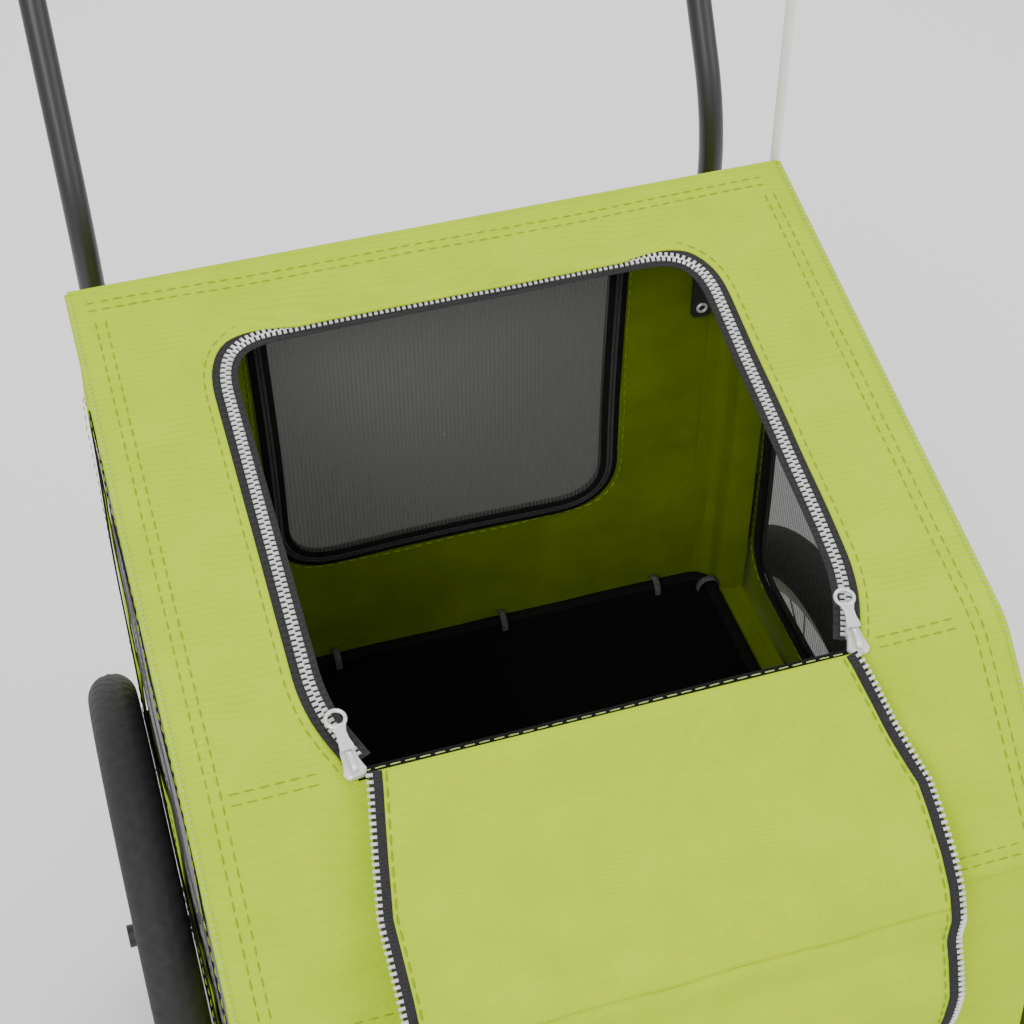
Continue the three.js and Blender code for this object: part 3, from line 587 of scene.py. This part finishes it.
# ---------------------------------------------------------------- walls
def wall(name, outline, polygon, centre, place, net_place, net, replaced, binding_width=0.016, zip_teeth=False, out=None):
    """A cloth wall with a window: the cloth, the bound edge of the window on both faces, its stitches, and the net."""
    centre = np.array(centre)
    cloth_piece = ring_sheet(name + "_cloth", outline, polygon_match(outline, centre, polygon), place, LIME, 26, 0.0014)
    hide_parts(*replaced[0])
    out = np.array(out, float)
    # A sheet of the darker lime just inside the wall's cloth: painted shade on the wall's inner face.
    ring_sheet(name + "_painted_shade", outline, polygon_match(outline, centre, polygon),
               lambda *p: tuple(np.array(place(*p)) - out * 0.0024), PAINTED_SHADE_LIME, 14, 0.0)
    net_inner = centre + (outline - centre) * 0.002
    net_piece = ring_sheet(name + "_net", net_inner, outline + (outline - centre) * 0.01, net_place, net, 16, 0.0)
    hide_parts(*replaced[1])
    middle = centre + (outline - centre) * (1 - 0.5 * binding_width / np.linalg.norm(outline - centre, axis=1))[:, None]
    points = np.array([net_place(*p) for p in middle])
    for face, sign in (("outer", 1.0), ("inner", -1.0)):
        normals = np.array([out * sign] * len(points))
        band = ribbon("%s_%s_band" % (name, face), points, normals, binding_width, BINDING, 0.0014, True, lift=0.0030)
        if face == "outer" and len(replaced) > 2:
            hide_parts(*replaced[2])
        closed = np.vstack([points, points[:1]])
        if zip_teeth:
            teeth("%s_%s_teeth" % (name, face), closed + out * sign * 0.0034, np.vstack([normals, normals[:1]]), COIL,
                  0.0022, size=(0.0012, 0.0026, 0.0012))
        seam = np.array([place(*p) for p in centre + (outline - centre) * 1.03]) + out * sign * 0.0030
        dashes("%s_%s_stitches" % (name, face), [(seam, normals)], THREAD)


def side_x(y, z):
    """How far out the side wall stands: it leans out towards the floor."""
    top = 0.890 - 0.2195 * max(-y, 0.0)
    down = max(top - z, 0.0)
    return HALF + 0.004 * min(down / 0.1, 1.0) + 0.006 * min(down / 0.45, 1.0)


def build_walls():
    for side, s in (("left", 1), ("right", -1)):
        corners = [(-0.038, 0.429), (-0.038, 0.820), (-0.440, 0.732), (-0.548, 0.660), (-0.572, 0.429)]
        outline = rounded_path(corners, [0.040, 0.030, 0.040, 0.030, 0.028], 0.008)
        polygon = [(0.001, 0.372), (0.001, 0.889), (-0.451, 0.790), (-0.585, 0.679), (-0.621, 0.372)]

        def place(y, z, s=s):
            h = waves(y, z, 0.14, 0.0035, 11 + s) + waves(y, z, 0.05, 0.0012, 17 + s)
            edge = min(-y + 0.002, z - 0.371, (0.890 + 0.2195 * y) - z + 0.001)
            return (s * (side_x(y, z) + h * min(max(edge / 0.04, 0.1), 1.0)), REAR_Y + y, z)

        def net_place(y, z, s=s):
            return (s * (side_x(y, z) - 0.001 + 0.4 * waves(y, z, 0.2, 0.004, 29 + s)), REAR_Y + y, z)

        wall(side + "_wall", outline, polygon, (-0.290, 0.590), place, net_place, SIDE_NET,
             ([side + "_side_panel"], [side + "_window"]), 0.014, out=(s, 0, 0))
        foot = [place(y, 0.3725) for y in np.linspace(-0.619, 0.0, 90)]
        tube(side + "_wall_hem", foot, 0.0035, BINDING)

    corners = [(-0.167, 0.530), (0.167, 0.530), (0.167, 0.838), (-0.167, 0.838)]
    outline = rounded_path(corners, [0.055, 0.055, 0.015, 0.015], 0.007)
    polygon = [(-0.2990, 0.372), (0.2990, 0.372), (0.2990, 0.888), (-0.2990, 0.888)]

    def rear(x, z):
        h = waves(x, z, 0.15, 0.0035, 41) + waves(x, z, 0.05, 0.0012, 42)
        edge = min(0.2995 - abs(x), z - 0.371, 0.889 - z)
        return (x, REAR_Y - 0.0012 + h * min(max(edge / 0.04, 0.1), 1.0), z)

    wall("rear_wall", outline, polygon, (0.0, 0.66), rear, lambda x, z: (x, REAR_Y - 0.0015, z), REAR_NET,
         (["rear_panel"], ["rear_door_mesh"], ["rear_door_zipper"]), 0.017, True, out=(0, 1, 0))
    tube("rear_wall_hem", [rear(x, 0.3725) for x in np.linspace(-0.299, 0.299, 70)], 0.0035, BINDING)

    corners = [(-0.200, 0.440), (0.200, 0.440), (0.200, 0.632), (-0.200, 0.632)]
    outline = rounded_path(corners, [0.036] * 4, 0.008)
    polygon = [(-0.2990, 0.398), (0.2990, 0.398), (0.2990, 0.679), (-0.2990, 0.679)]

    def front_y(z):
        return REAR_Y - 0.585 - (0.680 - z) / 0.308 * 0.035

    def front(x, z):
        h = waves(x, z, 0.15, 0.0030, 51)
        edge = min(0.2995 - abs(x), z - 0.397, 0.680 - z)
        return (x, front_y(z) + 0.0005 - h * min(max(edge / 0.04, 0.1), 1.0), z)

    wall("front_wall", outline, polygon, (0.0, 0.535), front, lambda x, z: (x, front_y(z) + 0.0012, z), SIDE_NET,
         (["front_panel"], ["front_window"]), 0.013, out=(0, -1, 0))
    tube("front_wall_hem", [front(x, 0.3985) for x in np.linspace(-0.299, 0.299, 70)], 0.0035, BINDING)


# ---------------------------------------------------------------- floor mat
def build_mat():
    corners = [(-0.2725, REAR_Y - 0.5960), (0.2725, REAR_Y - 0.5960), (0.2725, REAR_Y - 0.0045), (-0.2725, REAR_Y - 0.0045)]
    outline = rounded_path(corners, [0.016, 0.016, 0.022, 0.022], 0.008)
    centre = np.array([0.0, REAR_Y - 0.300])

    def top(x, y):
        return (x, y, MAT_Z - 0.0005 + waves(x, y, 0.12, 0.0010, 61))

    inner = centre + (outline - centre) * 0.002
    mat = ring_sheet("mat_cloth", inner, outline, top, MAT, 30, 0.003)
    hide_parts("floor_mat")
    edge = np.array([top(*p) for p in centre + (outline - centre) * 0.985])
    ribbon("mat_binding", edge, np.array([(0, 0, 1.0)] * len(edge)), 0.012, BINDING, 0.0012, True, lift=0.0016)
    loops = [(-0.12, -0.012, 0), (0.05, -0.012, 0), (0.212, -0.012, 0), (0.2655, -0.030, 90), (0.2655, -0.330, 90),
             (-0.2655, -0.060, -90), (-0.2655, -0.330, -90), (-0.12, -0.585, 180), (0.12, -0.585, 180)]
    for k, (x, y, turn) in enumerate(loops):
        t = np.linspace(0, math.pi, 16)
        c, s_ = math.cos(math.radians(turn)), math.sin(math.radians(turn))
        flat = [(0.0, -0.010 * math.cos(a) - 0.002, 0.0120 * math.sin(a) ** 0.8) for a in t]
        points = np.array([(x + px * c + py * s_, REAR_Y + y - px * s_ + py * c, MAT_Z + 0.002 + pz) for px, py, pz in flat])
        mid = points.mean(axis=0) - np.array([0, 0, 0.01])
        normals = points - mid
        normals /= np.linalg.norm(normals, axis=1)[:, None]
        ribbon("mat_tie_%d" % k, points, normals, 0.0065, WEBBING, 0.0014)


# ---------------------------------------------------------------- hatch flap
FLAP = [
    (-0.457, -0.0885), (-0.466, -0.093), (-0.480, -0.106), (-0.502, -0.124), (-0.530, -0.141), (-0.562, -0.155),
    (-0.586, -0.169), (-0.604, -0.186), (-0.616, -0.209), (-0.617, -0.234), (-0.626, -0.252), (-0.635, -0.277),
    (-0.636, -0.308), (-0.632, -0.345), (-0.629, -0.375), (-0.627, -0.398),
]


def build_flap():
    profile = resample(np.array(FLAP), 0.004)
    steps = np.linalg.norm(np.diff(profile, axis=0), axis=1)
    along = np.concatenate([[0], np.cumsum(steps)])
    total = along[-1]
    slope = np.gradient(profile, axis=0)
    slope /= np.linalg.norm(slope, axis=1)[:, None]

    def spot(x, d, up=0.0):
        """A point of the flap: x across, d along the cloth from its hinge line, up out of its upper face."""
        y, z = (np.interp(d, along, profile[:, k]) for k in (0, 1))
        ty, tz = (np.interp(d, along, slope[:, k]) for k in (0, 1))
        h = up + min(d / 0.04, 1.0) * (waves(x, d, 0.11, 0.0035, 71) + waves(x, d, 0.04, 0.0009, 72))
        # tz < 0 going down the front, so the upper face looks along (tz, -ty).
        return (x, REAR_Y + y + tz * h, REAR_Z + z - ty * h)

    def half(d, side):
        near, far = (0.182, 0.209) if side > 0 else (0.180, 0.196)
        wide = near + (far - near) * min(d / 0.10, 1.0)
        r = 0.055
        if d > total - r:
            wide -= r - math.sqrt(max(r * r - (d - total + r) ** 2, 0.0))
        return wide

    cut_at = 0.5 * (0.150 + 0.240)
    parts = [
        ("root", 0.0, cut_at, "hatch_flap", "hatch_flap_middle", 0.150, ["flap_root", "flap_middle"]),
        ("end", cut_at, total, "hatch_flap_middle", "hatch_flap_end", 0.240, ["flap_end"]),
    ]
    for label, low, high, a, b, joint, replaced in parts:
        ds = np.linspace(low, high - (0.0008 if label == "end" else 0), 50)
        columns = 49
        verts = [spot(-half(d, -1) + (half(d, 1) + half(d, -1)) * j / (columns - 1), d) for d in ds for j in range(columns)]
        pieces = [mesh_object("flap_cloth_" + label, verts, grid_faces(50, columns), LIME, True, 0.0014, None)]
        for side in (-1, 1):
            def edge_line(back, up):
                out = [(spot(side * (half(d, side) - back), d, up)) for d in ds]
                return np.array(out)

            tape, upper = edge_line(0.0048, 0.0), edge_line(0.0048, 1.0)
            normals = upper - tape
            if label == "end":
                keep = ds < total - 0.03
                tape, normals = tape[keep], normals[keep]
            name = "%s_%s" % (label, "left" if side > 0 else "right")
            pieces.append(ribbon("flap_tape_" + name, tape, normals, 0.0096, TAPE, 0.0008, lift=0.0010, body=None))
            chain = edge_line(0.0005, 0.0)[: len(tape)]
            pieces.append(teeth("flap_teeth_" + name, chain, normals, TOOTH, 0.0046, (0.0,), (0.0026, 0.0048, 0.0022), None))
            seam = edge_line(0.0125, 0.0012)[: len(tape)]
            pieces.append(dashes("flap_stitches_" + name, [(seam, normals)], THREAD, body=None))
        lower, upper_ = joint - 0.035, joint + 0.035
        mid = (half(joint, 1) - half(joint, -1)) / 2
        start, end = spot(mid, lower), spot(mid, upper_)
        for piece in pieces:
            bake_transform(piece)
            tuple(start)
            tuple(end)
        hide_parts(*replaced)


# ---------------------------------------------------------------- sleeves, tyres
def build_sleeves():
    """Cloth sleeves sewn round the bars that hold the cover out, so no bare tube shows inside the cabin."""
    for side, s in (("left", 1), ("right", -1)):
        x = s * 0.285
        knots = [(-0.017, 0.405), (-0.017, 0.873), (-0.448, 0.776), (-0.564, 0.670), (-0.596, 0.440)]
        path = resample(bent_path(knots, HOOP_CURVE, 9), 0.010)
        # The hoop's sleeve is in the darker lime: painted shade of the cabin's inside.
        tube(side + "_hoop_sleeve", [(x, REAR_Y + y, z) for y, z in path], HOOP_SLEEVE_RADIUS, PAINTED_SHADE_LIME, sides=16, caps=False)
        # A curved gusset closes the rear corner in front of the hoop; it is in the darker lime, painted shade of the
        # corner.
        plan = resample([(0.2500, -0.0042), (0.2640, -0.0060), (0.2715, -0.0120), (0.2728, -0.0200), (0.2750, -0.0300),
                         (0.2840, -0.0340), (0.2985, -0.0375)], 0.003)
        levels = np.linspace(0.394, 0.868, 60)
        verts = [(s * (px + waves(py * 4, z, 0.12, 0.0012, 81)), REAR_Y + py, z) for z in levels for px, py in plan]
        mesh_object(side + "_corner_gusset", verts, grid_faces(len(levels), len(plan)), PAINTED_SHADE_LIME)
        # A thin black strip inside the side wall near the rear corner: painted shade in the crease of a fold.
        crease_shade_strip = [(s * 0.3000, REAR_Y - 0.0400, z) for z in np.linspace(0.47, 0.56, 16)]
        ribbon(side + "_corner_crease_shade", crease_shade_strip, [(-s, 0, 0)] * 16, 0.0022, BINDING, 0.0004, lift=0.0016)
    # The bar sleeves are in the darker lime: painted shade of the cabin's inside.
    for name, y, z in (("rear", -0.016, 0.858), ("front", -0.459, 0.769)):
        path = [(x, REAR_Y + y, z) for x in np.linspace(-0.262, 0.262, 40)]
        tube(name + "_bar_sleeve", path, 0.0096, PAINTED_SHADE_LIME, sides=14, caps=False)
    # A ring of the darker lime round the floor, under the mat's edge: painted shade between the mat and the walls.
    corners = [(-0.299, -0.612), (0.299, -0.612), (0.299, -0.001), (-0.299, -0.001)]
    outline = rounded_path(corners, [0.004] * 4, 0.01)
    centre = np.array([0.0, -0.3])
    ring_sheet("floor_cloth", centre + (outline - centre) * 0.80, outline,
               lambda x, y: (x, REAR_Y + y, 0.3936 + 0.004 * max(abs(x) - 0.275, 0) / 0.025), PAINTED_SHADE_LIME, 10, 0.0)


def build_handle():
    """The handle's tube, bent in smooth curves."""
    x, y = HANDLE_HALF, REAR_Y + HANDLE_BACK
    top = (y + HANDLE_LENGTH * math.sin(HANDLE_LEAN), HANDLE_BEND + HANDLE_LENGTH * math.cos(HANDLE_LEAN))
    knots = [(x, y, HANDLE_FOOT), (x, y, HANDLE_BEND), (x, *top), (-x, *top), (-x, y, HANDLE_BEND), (-x, y, HANDLE_FOOT)]
    path = resample(bent_path(knots, HANDLE_CURVE, 17), 0.006)
    bar = tube("handle_bar", path, HANDLE_RADIUS, CAD_LOOKS["black_tube"], sides=28, body="handle")
    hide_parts("handle_tube")


def build_sliders():
    """Zipper sliders with a waisted body and bridge, and pulls with an open ring."""
    for side, s in (("left", 1), ("right", -1)):
        turn = Matrix.Rotation(-s * SLIDER_TURN, 4, "Z")
        slope = Matrix.Rotation(ROOF_ANGLE, 4, "X")
        on_slope = Matrix.Translation((s * SLIDER_X, -SLIDER_S, SLIDER_LIFT))
        spot = Matrix.Translation((0, REAR_Y, REAR_Z)) @ slope @ on_slope @ turn

        def put(points):
            return [tuple(spot @ Vector(p)) for p in points]

        outline = [(-0.0118, 0.0042), (-0.0108, 0.0068), (-0.0070, 0.0086), (-0.0030, 0.0074), (0.0020, 0.0060),
                   (0.0080, 0.0056), (0.0112, 0.0048), (0.0122, 0.0034)]
        rows = [(0.0000, 1.0), (0.0022, 1.0), (0.0034, 0.9), (0.0040, 0.72)]
        verts = []
        for z, shrink in rows:
            verts += [(w * shrink, y * shrink ** 0.3, z) for y, w in outline]
            verts += [(-w * shrink, y * shrink ** 0.3, z) for y, w in reversed(outline)]
        n = 2 * len(outline)
        faces = [(k * n + i, k * n + (i + 1) % n, (k + 1) * n + (i + 1) % n, (k + 1) * n + i)
                 for k in range(3) for i in range(n)]
        faces += [tuple(reversed(range(n))), tuple(range(3 * n, 4 * n))]
        body = mesh_object(side + "_slider_body", put(verts), faces, SLIDER, False, 0.0, side + "_slider")
        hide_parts(side + "_zip_slider")
        arch = [(0.0, -0.0085 + 0.0165 * u, 0.0036 + 0.0030 * math.sin(math.pi * u) ** 0.5) for u in np.linspace(0, 1, 14)]
        ribbon(side + "_slider_bridge", put(arch), [tuple(spot.to_3x3() @ Vector((0, 0, 1)))] * 14, 0.0046, SLIDER, 0.0014,
               body=side + "_slider")

        # The pull: an open ring, then a flat plate, narrow in its middle, that reaches towards the bridge.
        ring = []
        for u in np.linspace(0, 2 * math.pi, 33)[:-1]:
            ring.append((0.0070 * math.cos(u), 0.033 + 0.0066 * math.sin(u), 0.0072))
        loop = tube(side + "_pull_ring", put(ring), 0.0015, SLIDER, closed=True, body=side + "_pull")
        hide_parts(side + "_zip_pull")
        half = [(0.0080, 0.0052), (0.0115, 0.0050), (0.0160, 0.0040), (0.0215, 0.0038), (0.0262, 0.0052), (0.0285, 0.0062)]
        verts = []
        for z in (0.0064, 0.0080):
            verts += [(w, y, z) for y, w in half] + [(-w, y, z) for y, w in reversed(half)]
        n = 2 * len(half)
        faces = [tuple(reversed(range(n))), tuple(range(n, 2 * n))]
        faces += [(i, (i + 1) % n, n + (i + 1) % n, n + i) for i in range(n)]
        mesh_object(side + "_pull_plate", put(verts), faces, SLIDER, False, 0.0, side + "_pull")


def build_tyres():
    for label, body, centre, ring, minor, count in (
        ("left_tyre", "left_wheel", (0.338, REAR_Y - 0.165, 0.250), 0.2265, 0.0235, 78),
        ("right_tyre", "right_wheel", (-0.338, REAR_Y - 0.165, 0.250), 0.2265, 0.0235, 78),
        ("front_tyre", "front_wheel", (0.0, REAR_Y - 0.735, 0.100), 0.081, 0.019, 44),
    ):
        around, section = count * 10, 36
        verts = []
        for i in range(around):
            a = 2 * math.pi * i / around
            for j in range(section):
                b = 2 * math.pi * j / section
                crown = abs((b + math.pi) % (2 * math.pi) - math.pi)
                lane = (a * count / (2 * math.pi) + 1.3 * math.sin(crown * 1.2) + (0.5 if math.sin(b) > 0 else 0)) % 1.0
                deep = 0.0 if crown > 1.35 else max(0.0, 1 - abs(lane - 0.5) / 0.12)
                centre_groove = max(0.0, 1 - abs(crown - 0.16) / 0.07)
                r = minor - 0.0011 * min(deep, 1.0) - 0.0010 * centre_groove
                rim_flat = ring + r * math.cos(b)
                verts.append((centre[0] + r * math.sin(b), centre[1] + rim_flat * math.cos(a),
                              centre[2] + rim_flat * math.sin(a)))
        faces = []
        for i in range(around):
            for j in range(section):
                k, l = (i + 1) % around, (j + 1) % section
                faces.append((i * section + j, i * section + l, k * section + l, k * section + j))
        tyre = mesh_object(label + "_tread", verts, faces, CAD_LOOKS["tyre_rubber"], True, 0.0, body)
        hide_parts(label)


# ---------------------------------------------------------------- pennant, rivet
def build_pennant():
    lean = 0.023
    tip = np.array([0.314, REAR_Y + 0.0204 + 1.010 * math.sin(lean), 0.456 + 1.010 * math.cos(lean)])
    along, out = np.array([0, math.sin(lean), math.cos(lean)]), np.array([0, math.cos(lean), -math.sin(lean)])
    rows, columns = 30, 14
    verts = []
    for i in range(rows):
        t = i / (rows - 1)
        r = 0.005 + 0.223 * t
        for j in range(columns):
            v = (-0.150 + 0.065 * t) * (1 - j / (columns - 1)) + (-0.020 - 0.064 * t) * (j / (columns - 1))
            sway = 0.008 * math.sin(2 * math.pi * (t * 1.6 + 0.1)) * t ** 0.7
            verts.append(tip + out * r + along * v + np.array([sway, 0, 0]))
    cloth_piece = mesh_object("pennant_cloth", verts, grid_faces(rows, columns), PENNANT, True, 0.0008, "flag")
    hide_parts("flag_pennant")
    sleeve = tube("pennant_sleeve", [tip + along * v for v in np.linspace(-0.152, -0.018, 12)], 0.0052, PENNANT, body="flag")


def build_rivets():
    for side in (-1, 1):
        for z, r in ((0.762, 0.0042),):
            ring = [(side * 0.236 + r * math.cos(t), REAR_Y - 0.0170, z + r * math.sin(t))
                    for t in np.linspace(0, 2 * math.pi, 20, endpoint=False)]
            tube("lug_rivet_%s" % ("left" if side > 0 else "right"), ring, 0.0014, SLIDER, closed=True)


# ---------------------------------------------------------------- studio
def build_studio():
    look = material("studio_floor", (0.95, 0.95, 0.95), 0.9)[0]
    data = bpy.data.meshes.new("studio_floor")
    data.from_pydata([(-30, -30, 0), (30, -30, 0), (30, 30, 0), (-30, 30, 0)], [], [(0, 1, 2, 3)])
    data.materials.append(look)
    floor = bpy.data.objects.new("studio_floor", data)
    bpy.context.scene.collection.objects.link(floor)
    world = bpy.data.worlds.new("world")
    world.use_nodes = True
    world.node_tree.nodes["Background"].inputs["Color"].default_value = (1, 1, 1, 1)
    world.node_tree.nodes["Background"].inputs["Strength"].default_value = 0.92
    bpy.context.scene.world = world
    for name, where, size, power in (
        ("key", (-1.8, -2.2, 3.6), 2.2, 95.0),
        ("fill", (2.6, -1.4, 2.6), 2.4, 40.0),
        ("rim", (0.6, 2.8, 3.0), 1.8, 45.0),
    ):
        light = bpy.data.lights.new(name, "AREA")
        light.energy, light.size = power, size
        lamp = bpy.data.objects.new(name, light)
        lamp.location = where
        lamp.rotation_euler = (Vector((0, 0.15, 0.6)) - Vector(where)).to_track_quat("-Z", "Y").to_euler()
        bpy.context.scene.collection.objects.link(lamp)


build_roof()
build_walls()
build_mat()
build_flap()
build_sleeves()
build_tyres()
build_handle()
build_sliders()
build_pennant()
build_rivets()
build_studio()
